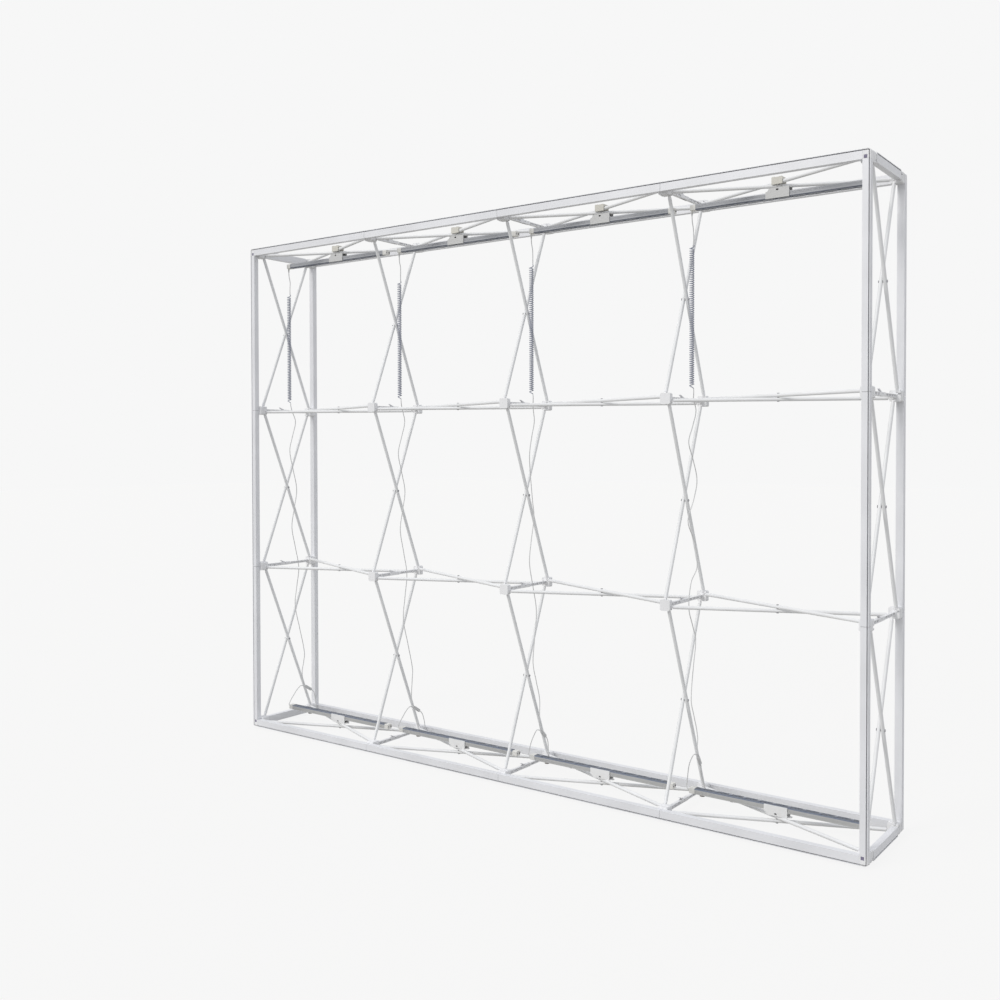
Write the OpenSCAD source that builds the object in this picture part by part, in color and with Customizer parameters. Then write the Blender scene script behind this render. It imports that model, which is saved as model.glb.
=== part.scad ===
// Pop-up display backwall: a folding lattice of tubes and hubs, shown erected,
// with clip-on graphic rails on both faces and wired light bars inside.
// Lengths are in millimetres. +X runs along the wall, -Y is the front and +Z
// is up. The origin is on the floor, under the centre of the frame.

/* [Frame] */
// Distance between neighbouring hub centres, across the wall and up it
hub_pitch = 735; // [650:5:850]
// Depth between the outer faces of the front and rear hubs
frame_depth = 296; // [280:2:330]
// Height of the feet under the bottom hubs
foot_h = 9; // [7:0.5:14]
// Diameter of a foot
foot_d = 22; // [16:1:26]

/* [Tubes] */
// Outside diameter of the lattice tubes
tube_d = 13; // [11:0.5:15]
// Wall of the lattice tubes
tube_wall = 1; // [0.8:0.1:1.6]
// Gap between the two tubes where they cross
crossing_gap = 1; // [0.6:0.1:2]
// Diameter of the crossing rivets
rivet_d = 5; // [4:0.5:6]
// Diameter of the heads of the crossing rivets
rivet_head_d = 9; // [8:0.5:11]
// Thickness of those heads
rivet_head_t = 1.6; // [1:0.2:2.4]

/* [Hubs] */
// Diameter of the pivot pins in the hubs
pin_d = 4; // [3:0.5:5]
// Radius of the eye on each tube end
eye_r = 4.8; // [4:0.2:6]
// Thickness of that eye
eye_t = 6.4; // [5:0.2:8]
// Plastic left outside each pivot pin
hub_wall = 2; // [1.6:0.2:4]
// Depth of the cover plate of a hub
plate_t = 8; // [7:0.5:12]
// Depth of the slotted block behind the cover plate
clevis_t = 12; // [12:0.5:20]
// Step between the cover plate and the slotted block
plate_step = 0.8; // [0.4:0.1:1.2]
// Corner radius of the cover plates
plate_r = 6; // [3:0.5:8]
// Depth of the seat block between a perimeter hub and its rail
seat_t = 14.5; // [10:0.5:18]
// Height of the knob that a rail clips on
knob_h = 5; // [4:0.2:7]
// Diameter of the knob's head
knob_d = 7.6; // [7:0.2:10]

/* [Rails] */
// Width of the face of the top and bottom rails
rail_w = 32; // [30:1:40]
// How much narrower the face of the side rails is
side_cut = 6; // [0:0.5:6]
// Depth of the rails
rail_t = 22; // [18:0.5:28]
// Wall of the rail profile
rail_wall = 1.8; // [1.4:0.1:2.4]
// Width of the groove that takes the edge of the graphic
groove_w = 3.8; // [2.5:0.1:4]
// Depth of that groove
groove_depth = 14; // [11:0.5:15]
// Outer corner radius of the corner blocks
corner_r = 8; // [5:0.5:10]
// Gap at the seams between rail lengths
seam_gap = 1; // [0.4:0.1:1.4]
// Length of the splice bar inside each seam
splice_len = 90; // [60:2:140]

/* [Locks] */
// Width of the lock arms
arm_w = 13; // [12:0.5:15]
// Height of the lock arms
arm_h = 14; // [12:0.5:16]
// Wall of the lock arms and of the fork
arm_wall = 2.8; // [2.2:0.2:3.4]
// Width of the release lever
lever_w = 7; // [5:0.2:7]
// Diameter of the pin that the release lever turns on
lever_pin_d = 3; // [2.5:0.1:3.4]

/* [Lights] */
// Length of a light bar with its end caps
light_len = 666; // [620:2:680]
// Width of a light bar
light_w = 23; // [20:0.5:28]
// Height of the light bar's housing
light_h = 20; // [18:0.5:24]
// Distance from the row of hubs to the back of a light bar
light_drop = 30; // [29:0.5:36]
// Number of lenses on a light bar
lens_count = 11; // [7:1:13]
// Diameter of a lens
lens_d = 14; // [10:0.5:16]
// Length of the saddle that holds a light bar
saddle_len = 88; // [70:1:110]
// Wall of the saddle
saddle_wall = 3; // [2:0.2:4]

/* [Leads] */
// Diameter of the light leads
lead_d = 3.6; // [2.8:0.1:4]
// Outside diameter of the curly section
coil_d = 19; // [15:0.5:21]
// Length of the curly section
coil_len = 520; // [490:5:530]

/* [Hidden] */
$fn = 48;

// The lattice has a fixed number of bays: every column and row has its node.
bays_wide = 4;
bays_high = 3;

// Clearances
fit_gap = 0.3;     // between a moulded slot and what lies in it
pin_gap = 0.05;    // radial, round a pin
face_gap = 0.1;    // between two faces that rest on each other
cut = 1;           // how far a cutter runs past the face that it opens

// Lattice
tube_offset = (tube_d + crossing_gap) / 2;
slot_ligament = 0.4;
slot_floor = 2.9;
pin_reach = tube_offset + eye_t / 2 + eye_r + 2 * fit_gap + slot_ligament;
hub_w = 2 * (pin_reach + pin_d / 2 + hub_wall);
hub_t = plate_t + clevis_t;
pin_depth = plate_t + slot_floor + fit_gap + eye_r;
pin_shank = 2 * (pin_reach - pin_d / 2 - 1 - tube_offset);
outer_y = frame_depth / 2;
inner_y = outer_y - hub_t;
pin_y = outer_y - pin_depth;
run = hub_pitch - 2 * pin_reach;
rise = 2 * pin_y;
link_len = sqrt(run * run + rise * rise);
link_angle = atan(rise / run);
collar_start = eye_r + 3.2;
collar_len = 6;
collar_d = tube_d - 0.4;
spigot_len = 12;
tube_start = collar_start + collar_len;
bore_d = tube_d - 2 * tube_wall;
row_1_z = foot_h + hub_w / 2;
tube_face = tube_offset + tube_d / 2;

function col_x(i) = (i - bays_wide / 2) * hub_pitch;
function row_z(j) = row_1_z + j * hub_pitch;
function mid_x(i) = col_x(i) + hub_pitch / 2;
function mid_z(j) = row_z(j) + hub_pitch / 2;
function on_edge(i, j) = i == 0 || i == bays_wide || j == 0 || j == bays_high;
function on_corner(i, j) = (i == 0 || i == bays_wide) && (j == 0 || j == bays_high);

// Rails. A rail's face runs from its outer edge, in line with the hubs, inwards.
seat_w = hub_w - 2;
seat_y = outer_y + seat_t;
rail_out = hub_w / 2;
rail_in = rail_w - rail_out;
side_in = max(rail_in - side_cut, knob_d / 2 + fit_gap + rail_wall);
groove_rim = 2;
knob_hole_d = knob_d + 2 * fit_gap;
knob_neck_d = knob_d - 2.4;
knob_head_t = 2;
chamber_top = rail_out - groove_rim - groove_w - rail_wall;
splice_t = 8;
corner_gap = 0.3;
line_w = 1.4;      // shallow lines along the outer side of a rail
line_t = 0.8;
line_places = [7, 15];
plug_w = 11;
plug_at = [4, -5]; // outwards and upwards from the hub line
plug_t = 2.5;
plug_sunk = 0.5;
end_plug_t = 8;
end_plug_flange = 3;
end_plug_step = 4;
end_plug_spigot = 14;

// Locks. The lever turns on its pin over the catch's nose.
flange_w = 18;
flange_t = 3;
fork_len = 56;
fork_tip_y = 14;
lever_pin_y = -14;
lever_pin_z = 1.6;
lever_pin_boss_r = 3.4;
nose_w = arm_w - 2 * arm_wall - 2 * fit_gap;
nose_top = -1;
ridge_top = 3.2;
ridge_y = 2;
ridge_t = 4;
hook_gap = 0.4;
hook_t = 3.6;
lever_beam_low = 4;
lever_beam_top = 7.4;

// Lights
cap_t = 22;
light_shift = -10;   // how far a bar's middle lies from its saddle
housing_len = light_len - 2 * cap_t;
board_t = 1.6;
board_sunk = 1.8;
board_w = light_w - 2.8;
lens_h = 2.6;
lens_base = 1;
lens_margin = 28;
gland_d = 8;
gland_len = 6;
gland_in = 4.5;      // from a bar's left end to the middle of its top gland
light_mid = light_drop + light_h / 2;
notch_w = 10;
notch_h = 6;
corner_cut = 12;
tab_len = 11;
tab_w = 12;
block_len = 40;
block_h = 8;
block_floor = 5;
block_wall = 3;
block_side_gap = 0.8;
block_w = block_len * tan(link_angle) + tube_d / cos(link_angle) + 2 * (block_wall + block_side_gap);
block_skirt = 3;   // how far its cheeks reach past the line of the hubs
block_rib_w = 3;
block_rib_h = 1.2;
block_ribs = [10, 16];
light_button_r = 3;
light_button_h = 1.5;
light_button_y = gland_d / 2 + light_button_r + 0.5;

// Leads. x and y are measured from the column that a lead hangs beside.
coil_curls = 18;
curl_rings = 8;
curl_sides = 6;
lead_sides = 8;
light_left = hub_pitch / 2 + light_shift - light_len / 2;
lead_x = light_left + gland_in;
lead_y = -4;
coil_top = 2060;
top_wave = 5;
top_gland_z = row_z(bays_high) - light_drop - light_h - gland_len;
bottom_gland_x = light_left - gland_len;
bottom_light_z = row_z(0) + light_mid;
splitter_l = 38;
splitter_w = 13;
splitter_t = 8;
splitter_boss_d = 6;
splitter_boss_l = 5;
supply_plug_d = 9;
supply_plug_l = 30;
supply_plug_at = [110, 136, 5.5];

// Centre of each splitter, and how far it leans from upright
splitter_at = [[42, 91, 142], [42, 84, 142], [42, 57, 150], [42, 34, 170]];
splitter_lean = [55, 55, 45, 30];

// Free points of each lead between its coil and its splitter
drops = [
  [[30, 30, 1450], [30, -5, 1310], [30, 35, 1120], [30, 5, 940], [30, 45, 740],
   [32, 20, 560], [38, 70, 320], [42, 52, 232], [42, 100, 165]],
  [[30, 25, 1440], [30, -15, 1300], [30, 25, 1130], [30, -5, 960], [30, 35, 760],
   [32, 10, 560], [38, 60, 330], [42, 50, 235], [42, 94, 166]],
  [[30, 13, 1430], [30, -18, 1270], [30, 10, 1046], [30, -20, 860], [30, 25, 660],
   [32, 0, 450], [38, 35, 300], [42, 30, 230], [42, 76, 172]],
  [[30, 27, 1460], [30, -28, 1350], [30, 35, 1210], [30, -33, 1058], [30, 37, 884],
   [30, -25, 740], [30, 27, 618], [33, -12, 400], [38, 20, 290], [41, 48, 222], [42, 58, 184]]
];

// Bends of each supply tail between its splitter and the floor
supply_bends = [
  [[43, 124, 112], [44, 131, 80], [47, 134, 40], [62, 135, 12]],
  [[43, 118, 112], [44, 128, 80], [47, 134, 40], [62, 135, 12]],
  [[38, 92, 108], [34, 100, 76], [32, 106, 46], [36, 112, 24], [58, 126, 10]],
  [[34, 62, 122], [27, 84, 92], [26, 100, 62], [34, 110, 32], [58, 126, 10]]
];

// ---------------------------------------------------------------- helpers

// Extrude a shape drawn in [x, z] along Y, from y0 to y1.
module along_y(y0, y1) {
  translate([0, y1, 0]) rotate([90, 0, 0]) linear_extrude(y1 - y0) children();
}

// Extrude a shape drawn in [y, z] along X, from x0 to x1.
module along_x(x0, x1) {
  translate([x0, 0, 0]) rotate([90, 0, 90]) linear_extrude(x1 - x0) children();
}

// A cylinder along X, from x0 to x1.
module rod_x(x0, x1, d) {
  translate([x0, 0, 0]) rotate([0, 90, 0]) cylinder(h = x1 - x0, d = d);
}

// A square with round corners, centred.
module round_square(w, h, r) {
  square([w - 2 * r, h], center = true);
  square([w, h - 2 * r], center = true);
  for (x = [-1, 1], y = [-1, 1])
    translate([x * (w / 2 - r), y * (h / 2 - r)]) circle(r = r);
}

// Put a front-facing piece on the front (side -1) or mirror it to the rear (side 1).
module on_side(side) {
  mirror([0, side > 0 ? 1 : 0, 0]) children();
}

// The frame of a link across bay i of row j: +X runs from pivot to pivot.
module row_link(i, j, side) {
  translate([col_x(i) + pin_reach, side * pin_y, row_z(j) + side * tube_offset])
    rotate([0, 0, -side * link_angle]) children();
}

// The same up bay j of column i.
module column_link(i, j, side) {
  translate([col_x(i) + side * tube_offset, side * pin_y, row_z(j) + pin_reach])
    rotate([side * link_angle, 0, 0]) rotate([0, -90, 0]) children();
}

// ---------------------------------------------------------------- lattice

module tube() {
  difference() {
    rod_x(tube_start, link_len - tube_start, tube_d);
    rod_x(tube_start - cut, link_len - tube_start + cut, bore_d);
    translate([link_len / 2, 0, 0])
      cylinder(h = tube_d + 2 * cut, d = rivet_d + 2 * pin_gap, center = true);
  }
}

module row_tubes(j) {
  for (i = [0 : bays_wide - 1], side = [-1, 1]) row_link(i, j, side) tube();
}

module column_tubes(i) {
  for (j = [0 : bays_high - 1], side = [-1, 1]) column_link(i, j, side) tube();
}

// The plastic end of a tube: an eye for the pivot pin, a collar and a spigot.
module tube_end() {
  difference() {
    union() {
      cylinder(r = eye_r, h = eye_t, center = true);
      translate([0, -eye_r, -eye_t / 2]) cube([collar_start + 1, 2 * eye_r, eye_t]);
      rod_x(collar_start, tube_start, collar_d);
      rod_x(tube_start - 1, tube_start + spigot_len, bore_d - 2 * pin_gap);
    }
    cylinder(h = eye_t + 2 * cut, d = pin_d + 2 * pin_gap, center = true);
  }
}

module both_ends() {
  tube_end();
  translate([link_len, 0, 0]) mirror([1, 0, 0]) tube_end();
}

module tube_ends() {
  color("whitesmoke") {
    for (j = [0 : bays_high], i = [0 : bays_wide - 1], side = [-1, 1])
      row_link(i, j, side) both_ends();
    for (i = [0 : bays_wide], j = [0 : bays_high - 1], side = [-1, 1])
      column_link(i, j, side) both_ends();
  }
}

// A hub is drawn as a front one, from its outer face at y = 0 inwards. Each
// slot and pin is drawn on the right and turned to its own side of the hub.
// Looking from the front, a tube on the right lies low and one on the left high.
slot_turns = [0, 90, 180, 270];

function hub_side_open(i, j, k) =
  k == 0 ? i < bays_wide : k == 1 ? j < bays_high : k == 2 ? i > 0 : j > 0;

// Turn about the depth axis so that what points to +X points to side k.
module to_side(k) {
  rotate([0, -slot_turns[k], 0]) children();
}

// Offset of the tube from the hub's centre line, in the turned frame.
function slot_offset(side, k) = (k % 2 == 0 ? 1 : -1) * side * tube_offset;

module slot_cutter(offset) {
  slot_t = eye_t + 2 * fit_gap;
  translate([pin_reach - eye_r - fit_gap, pin_depth - eye_r - fit_gap, offset - slot_t / 2])
    cube([hub_w / 2, hub_t, slot_t]);
}

module pin_hole(offset) {
  low = offset < 0 ? -hub_w / 2 - cut : offset - pin_shank / 2;
  high = offset < 0 ? offset + pin_shank / 2 : hub_w / 2 + cut;
  translate([pin_reach, pin_depth, low]) cylinder(h = high - low, d = pin_d + 2 * pin_gap);
}

// Every hub is the same moulding, with a slot in each side. It is drilled for a
// pin only where a tube ends.
module hub(i, j, side) {
  body_w = hub_w - 2 * plate_step;
  difference() {
    union() {
      along_y(0, plate_t) round_square(hub_w, hub_w, plate_r);
      along_y(plate_t - 1, hub_t) round_square(body_w, body_w, plate_r - plate_step);
    }
    for (k = [0 : 3]) to_side(k) {
      slot_cutter(slot_offset(side, k));
      if (hub_side_open(i, j, k)) pin_hole(slot_offset(side, k));
    }
  }
}

module hubs(side) {
  color("white")
    for (i = [0 : bays_wide], j = [0 : bays_high])
      translate([col_x(i), 0, row_z(j)]) on_side(side)
        translate([0, -outer_y, 0]) hub(i, j, side);
}

module pivot_pins() {
  color("silver") {
    for (i = [0 : bays_wide], j = [0 : bays_high], side = [-1, 1], k = [0 : 3])
      if (hub_side_open(i, j, k))
        translate([col_x(i), 0, row_z(j)]) on_side(side) translate([0, -outer_y, 0])
          to_side(k) translate([pin_reach, pin_depth, slot_offset(side, k)])
            cylinder(h = pin_shank, d = pin_d, center = true);
    for (lock = locks) at_lock(lock)
      translate([0, lever_pin_y, lever_pin_z]) rod_x(-arm_w / 2, arm_w / 2, lever_pin_d);
  }
}

// A crossing rivet along Z, headed at both ends, with a collar between the tubes.
module rivet(low, high) {
  translate([0, 0, -low]) cylinder(h = low + high, d = rivet_d);
  translate([0, 0, -low - rivet_head_t]) cylinder(h = rivet_head_t, d = rivet_head_d);
  translate([0, 0, high]) cylinder(h = rivet_head_t, d = rivet_head_d);
  cylinder(h = crossing_gap - 2 * face_gap, d = rivet_head_d, center = true);
}

module crossing_rivets() {
  plain = tube_face + face_gap;
  saddled = plain + saddle_wall + 2 * face_gap;
  blocked = plain + block_floor + 2 * face_gap;
  color("dimgray") {
    for (i = [0 : bays_wide - 1], j = [0 : bays_high])
      translate([mid_x(i), 0, row_z(j)])
        rivet(j == bays_high ? saddled : plain,
              j == 0 ? saddled : j == bays_high ? blocked : plain);
    for (i = [0 : bays_wide], j = [0 : bays_high - 1])
      translate([col_x(i), 0, mid_z(j)]) rotate([0, 90, 0]) rivet(plain, plain);
  }
}

// The block between a perimeter hub and its rail, with the knob that holds the rail.
module rail_seat() {
  along_y(-seat_t, 0) round_square(seat_w, seat_w, plate_r - 1);
  rotate([90, 0, 0]) {
    cylinder(h = seat_t + knob_h, d = knob_neck_d);
    translate([0, 0, seat_t + knob_h - knob_head_t]) cylinder(h = knob_head_t, d = knob_d);
  }
}

module rail_seats() {
  color("white")
    for (side = [-1, 1], i = [0 : bays_wide], j = [0 : bays_high]) if (on_edge(i, j))
      translate([col_x(i), 0, row_z(j)]) on_side(side)
        translate([0, -outer_y, 0]) rail_seat();
}

module feet() {
  color("gray")
    for (side = [-1, 1], i = [0 : bays_wide])
      translate([col_x(i), side * (outer_y - hub_t / 2), 0])
        rotate_extrude()
          polygon([[0, 0], [foot_d / 2 - 1, 0], [foot_d / 2, 1], [foot_d / 2, foot_h / 2],
                   [foot_d / 3, foot_h * 0.7], [foot_d / 3, foot_h], [0, foot_h]]);
}

// ---------------------------------------------------------------- rails

// The section in [y, z]: y = 0 is the back face, z = 0 the line of the hubs. It
// reaches inwards as far as inner.
module rail_section(inner) {
  difference() {
    translate([-rail_t, -inner]) square([rail_t, inner + rail_out]);
    translate([-rail_t + rail_wall, -inner + rail_wall])
      square([rail_t - 2 * rail_wall, chamber_top + inner - rail_wall]);
    translate([-rail_t - cut, rail_out - groove_rim - groove_w])
      square([groove_depth + cut, groove_w]);
    for (y = line_places)
      translate([y - rail_t, rail_out - line_t]) square([line_w, line_t + cut]);
  }
}

// One side of the outline: its lengths of rail and the splice bars in them. The
// corner blocks reach as far as corner from the hub line. A hole at each seam
// takes the knob of the hub behind it.
module rail_run(bays, inner, corner) {
  half = bays * hub_pitch / 2;
  difference() {
    for (k = [0 : bays - 1]) {
      low = k * hub_pitch - half + (k == 0 ? corner + corner_gap : seam_gap / 2);
      high = (k + 1) * hub_pitch - half - (k == bays - 1 ? corner + corner_gap : seam_gap / 2);
      along_x(low, high) rail_section(inner);
    }
    for (k = [1 : bays - 1]) translate([k * hub_pitch - half, cut, 0]) rotate([90, 0, 0])
      cylinder(h = rail_wall + 2 * cut, d = knob_hole_d);
  }
  splice_z = -inner + rail_wall + fit_gap;
  for (k = [1 : bays - 1])
    translate([k * hub_pitch - half - splice_len / 2, -rail_t + rail_wall + fit_gap, splice_z])
      cube([splice_len, splice_t, chamber_top - fit_gap - splice_z]);
}

// Edge 0 is the top, 1 the left side, 2 the bottom and 3 the right side.
module rail(side, edge) {
  bays = edge % 2 == 0 ? bays_wide : bays_high;
  x = edge == 1 ? col_x(0) : edge == 3 ? col_x(bays_wide) : 0;
  z = edge == 0 ? row_z(bays_high) : edge == 2 ? row_z(0) : (row_z(0) + row_z(bays_high)) / 2;
  color("gainsboro")
    translate([x, 0, z]) on_side(side) translate([0, -seat_y, 0])
      rotate([0, -90 * edge, 0])
        if (edge % 2 == 0) rail_run(bays, rail_in, side_in);
        else rail_run(bays, side_in, rail_in);
}

// The face outline of a corner block, drawn in as far as inset from the outer edges.
module corner_outline(inset) {
  edge = rail_out - inset;
  round_at = rail_out - corner_r;
  polygon([[-side_in, -rail_in], [edge, -rail_in], [edge, round_at],
           [round_at, edge], [-side_in, edge]]);
  translate([round_at, round_at]) circle(r = corner_r - inset);
}

module corner_block() {
  difference() {
    along_y(-rail_t, 0) corner_outline(0);
    along_y(-rail_t - cut, -rail_t + groove_depth) difference() {
      corner_outline(groove_rim);
      translate([-cut, -cut]) corner_outline(groove_rim + groove_w);
      corner_outline(groove_rim + groove_w);
    }
    rotate([90, 0, 0]) translate([0, 0, -cut])
      cylinder(h = knob_h + 1 + cut, d = knob_hole_d);
    translate([plug_at[0], -rail_t + plug_t / 2 + plug_sunk - cut / 2, plug_at[1]])
      cube([plug_w + 2 * fit_gap, plug_t + 2 * plug_sunk + cut, plug_w + 2 * fit_gap],
           center = true);
  }
}

module at_corners(side) {
  for (x = [0, 1], z = [0, 1])
    translate([col_x(x * bays_wide), 0, row_z(z * bays_high)]) on_side(side)
      translate([0, -seat_y, 0]) mirror([1 - x, 0, 0]) mirror([0, 0, 1 - z]) children();
}

module corner_blocks() {
  color("white") for (side = [-1, 1]) at_corners(side) corner_block();
}

module black_plugs() {
  color("dimgray") {
    for (side = [-1, 1]) at_corners(side)
      translate([plug_at[0], -rail_t + plug_sunk + plug_t / 2, plug_at[1]])
        cube([plug_w, plug_t, plug_w], center = true);
    at_bars() for (x = [0, 1]) mirror([x, 0, 0])
      translate([0, light_button_y, light_mid])
        rod_x(light_len / 2, light_len / 2 + light_button_h, 2 * light_button_r);
  }
}

// The rails that join the front and rear outlines at the four corners.
module at_end_rails() {
  for (x = [0, 1], z = [0, 1])
    mirror([1 - x, 0, 0])
      translate([col_x(bays_wide) + rail_out - rail_t, 0, row_z(z * bays_high)])
        mirror([0, 0, 1 - z]) rotate([0, 0, 90]) children();
}

module end_rails() {
  half = inner_y - end_plug_t;
  color("gainsboro") at_end_rails() along_x(-half, half) rail_section(rail_in);
}

// The moulded end of an end rail: a flange against the rail, a stepped-in neck
// against the hub and a spigot in the rail.
module end_rail_plug() {
  spigot_z = -rail_in + rail_wall + fit_gap;
  spigot_y = -rail_t + rail_wall + fit_gap;
  translate([inner_y - end_plug_t, -rail_t, -rail_in])
    cube([end_plug_flange, rail_t, rail_w]);
  translate([inner_y - end_plug_t + 1, end_plug_step - rail_t, end_plug_step - rail_in])
    cube([end_plug_t - 1, rail_t - 2 * end_plug_step, rail_w - 2 * end_plug_step]);
  translate([inner_y - end_plug_t - end_plug_spigot, spigot_y, spigot_z])
    cube([end_plug_spigot + 1, -rail_wall - fit_gap - spigot_y, chamber_top - fit_gap - spigot_z]);
}

module end_rail_plugs() {
  color("white") at_end_rails() for (e = [0, 1]) mirror([e, 0, 0]) end_rail_plug();
}

// ---------------------------------------------------------------- locks

// Row and column of each lock: all hubs but the four corners.
locks = [for (j = [0 : bays_high], i = [0 : bays_wide]) if (!on_corner(i, j)) [i, j]];

module at_lock(lock) {
  translate([col_x(lock[0]), 0, row_z(lock[1])]) children();
}

// An arm from a hub's inner face, with pockets and ribs, drawn along +Y.
module ribbed_arm(length, w, h, pockets) {
  pocket = (length - flange_t) / pockets - arm_wall;
  difference() {
    union() {
      along_y(0, flange_t) round_square(flange_w, flange_w, 3);
      along_y(0, length) round_square(w, h, 1.5);
    }
    for (k = [0 : pockets - 1], x = [0, 1]) mirror([x, 0, 0])
      translate([arm_wall / 2, flange_t + arm_wall + k * (pocket + arm_wall), arm_wall - h / 2])
        cube([w, pocket - arm_wall, h - 2 * arm_wall]);
  }
}

// The front arm: ribbed, then a fork whose cheeks hold the release lever.
module hook_arm() {
  fork_y = fork_tip_y - fork_len;
  ribbed_len = fork_y + inner_y;
  difference() {
    union() {
      translate([0, -inner_y, 0]) ribbed_arm(ribbed_len, arm_w, arm_h, 3);
      along_y(fork_y - 1, fork_tip_y) round_square(arm_w, arm_h, 1.5);
    }
    translate([-arm_w / 2 + arm_wall, fork_y + arm_wall, -arm_h])
      cube([arm_w - 2 * arm_wall, fork_len, 2 * arm_h]);
    translate([0, lever_pin_y, lever_pin_z])
      rod_x(-arm_w, arm_w, lever_pin_d + 2 * pin_gap);
  }
}

module hook_arms() {
  color("whitesmoke") for (lock = locks) at_lock(lock) hook_arm();
}

// The rear arm: ribbed, then a nose with the ridge that the hook drops behind.
module catch_arm() {
  nose_y = ridge_y - 4;
  shoulder_y = fork_tip_y + 4;
  rear_len = inner_y - shoulder_y;
  mirror([0, 1, 0]) translate([0, -inner_y, 0]) ribbed_arm(rear_len, arm_w - 1, arm_h - 2, 4);
  along_x(-nose_w / 2, nose_w / 2)
    polygon([[nose_y, -arm_h / 2 + 2], [nose_y, nose_top - 1], [nose_y + 1, nose_top],
             [ridge_y - 1, nose_top], [ridge_y + ridge_t / 2, ridge_top],
             [ridge_y + ridge_t, ridge_top], [ridge_y + ridge_t, nose_top],
             [shoulder_y + 1, nose_top], [shoulder_y + 1, -arm_h / 2 + 2]]);
}

module catch_arms() {
  color("whitesmoke") for (lock = locks) at_lock(lock) catch_arm();
}

// The release lever: a thumb tab in front of its pin, the hook behind it.
module lever_outline() {
  hook_y = ridge_y + ridge_t + hook_gap;
  y = lever_pin_y;
  z = lever_pin_z;
  r = lever_pin_boss_r;
  polygon([[y - r, z], [y - r + 1.2, z - r + 1], [y, z - r], [y + r - 1.2, z - r + 1],
           [y + r, z], [y + r + 0.6, lever_beam_low],
           [hook_y, lever_beam_low], [hook_y, nose_top + 0.5],
           [hook_y + hook_t - 1, nose_top + 0.5], [hook_y + hook_t, nose_top + 1.4],
           [hook_y + hook_t, lever_beam_top - 1], [hook_y + hook_t - 1, lever_beam_top],
           [y, lever_beam_top], [y - 26.5, 17.6], [y - 28, 16.8], [y - 24.5, 14.2]]);
}

module lever(j, i) {
  color("whitesmoke") at_lock([i - 1, j - 1]) difference() {
    along_x(-lever_w / 2, lever_w / 2) lever_outline();
    translate([0, lever_pin_y, lever_pin_z]) rod_x(-arm_w, arm_w, lever_pin_d + 2 * pin_gap);
  }
}

// ---------------------------------------------------------------- lights

// Place a light bar's pieces: +Z points into the frame, z = 0 is the row of hubs.
module at_light(i, top) {
  translate([mid_x(i), 0, row_z(top * bays_high)]) mirror([0, 0, top]) children();
}

module at_lights() {
  for (i = [0 : bays_wide - 1], top = [0, 1]) at_light(i, top) children();
}

// The same for what slides in the saddles.
module at_bars() {
  at_lights() translate([light_shift, 0, 0]) children();
}

// The housing is an open channel with a wiring duct and grooved sides.
module housing_section() {
  base = light_drop;
  difference() {
    translate([-light_w / 2, base]) square([light_w, light_h]);
    translate([-board_w / 2, base + light_h - board_sunk]) square([board_w, board_sunk + cut]);
    translate([-light_w / 2 + 2, base + 2])
      square([light_w - 4, light_h - board_sunk - 4]);
    for (s = [-1, 1], z = [5, 9])
      translate([s * light_w / 2 - 0.7, base + z]) square([1.4, 1.6]);
  }
}

module light_housings() {
  color("lightsteelblue") at_bars()
    along_x(-housing_len / 2, housing_len / 2) housing_section();
}

module light_boards() {
  color("darkslategray") at_bars()
    translate([-housing_len / 2, -board_w / 2 + face_gap, light_drop + light_h - board_sunk])
      cube([housing_len, board_w - 2 * face_gap, board_t]);
}

module light_lenses() {
  board_face = light_drop + light_h - board_sunk + board_t;
  dome_h = lens_h - lens_base;
  dome_r = (lens_d * lens_d / 4 + dome_h * dome_h) / (2 * dome_h);
  pitch = (housing_len - 2 * lens_margin) / (lens_count - 1);
  color("white") at_bars() for (k = [0 : lens_count - 1])
    translate([-housing_len / 2 + lens_margin + k * pitch, 0, board_face]) {
      cylinder(h = lens_base, d = lens_d);
      intersection() {
        translate([0, 0, lens_h - dome_r]) sphere(r = dome_r);
        translate([0, 0, lens_base]) cylinder(h = lens_h, d = lens_d);
      }
    }
}

module light_end_caps() {
  color("white") at_bars() {
    for (x = [0, 1]) mirror([x, 0, 0]) translate([0, 0, light_mid])
      along_x(light_len / 2 - cap_t, light_len / 2)
        round_square(light_w + 0.6, light_h + 0.6, 2);
  }
  color("white") for (i = [0 : bays_wide - 1]) {
    at_light(i, 0) translate([light_left - hub_pitch / 2, 0, light_mid])
      rod_x(-gland_len, 1, gland_d);
    at_light(i, 1) translate([lead_x - hub_pitch / 2, lead_y, light_drop + light_h - 1])
      cylinder(h = gland_len + 1, d = gland_d);
  }
}

// The saddle: cheeks down the sides of the bar, a plate under the crossing tubes
// with a tab at one end, and a web on the back of the bar. The cheeks are notched
// over the rivet and cut round at one corner.
module light_saddle() {
  top = tube_face + face_gap;
  cheek_in = light_w / 2 + fit_gap;
  low = light_drop - face_gap;
  difference() {
    along_x(-saddle_len / 2, saddle_len / 2) {
      translate([-cheek_in - saddle_wall, top])
        square([2 * (cheek_in + saddle_wall), saddle_wall]);
      translate([-cheek_in - 1, low - saddle_wall]) square([2 * cheek_in + 2, saddle_wall]);
      for (s = [-1, 1])
        translate([s * (cheek_in + saddle_wall / 2) - saddle_wall / 2, top])
          square([saddle_wall, light_drop + light_h - top - 1]);
    }
    translate([0, 0, top - cut]) cylinder(h = saddle_wall + 2 * cut, d = rivet_d + 2 * pin_gap);
    along_y(-light_w, light_w) {
      translate([0, top + saddle_wall + notch_h / 2 + 1]) round_square(notch_w, notch_h, 2);
      translate([-saddle_len / 2, top]) circle(r = min(corner_cut, low - saddle_wall - top - 1));
    }
  }
  translate([saddle_len / 2 - 1, -tab_w / 2, top]) cube([tab_len + 1, tab_w, saddle_wall]);
}

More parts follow.
